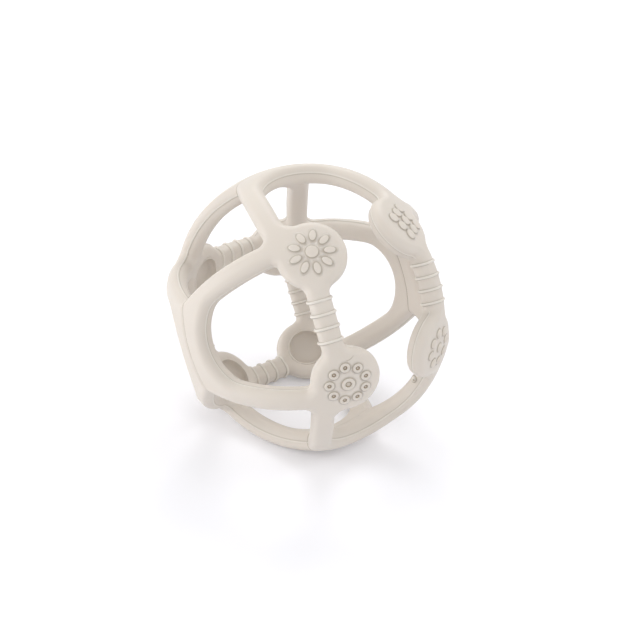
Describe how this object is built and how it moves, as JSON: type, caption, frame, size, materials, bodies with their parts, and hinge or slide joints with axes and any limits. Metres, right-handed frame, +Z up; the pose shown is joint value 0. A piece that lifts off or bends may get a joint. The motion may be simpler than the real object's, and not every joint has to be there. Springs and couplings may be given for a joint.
{
  "type": "silicone ball",
  "caption": "Hollow openwork ball moulded in soft silicone, with ring openings, ribbed bars and embossed discs to grip, chew or shake.",
  "frame": {"origin": "centre of the bounding box on the table plane, under the ball", "axes": "+Z up as the ball rests, -Y towards the side with the big opening, which leans up; +X to the right seen from there"},
  "size_m": [0.1, 0.0996, 0.0912],
  "materials": {
    "silicone": "matte"
  },
  "bodies": {
    "root": {"silicone_ball": "silicone"}
  },
  "joints": []
}
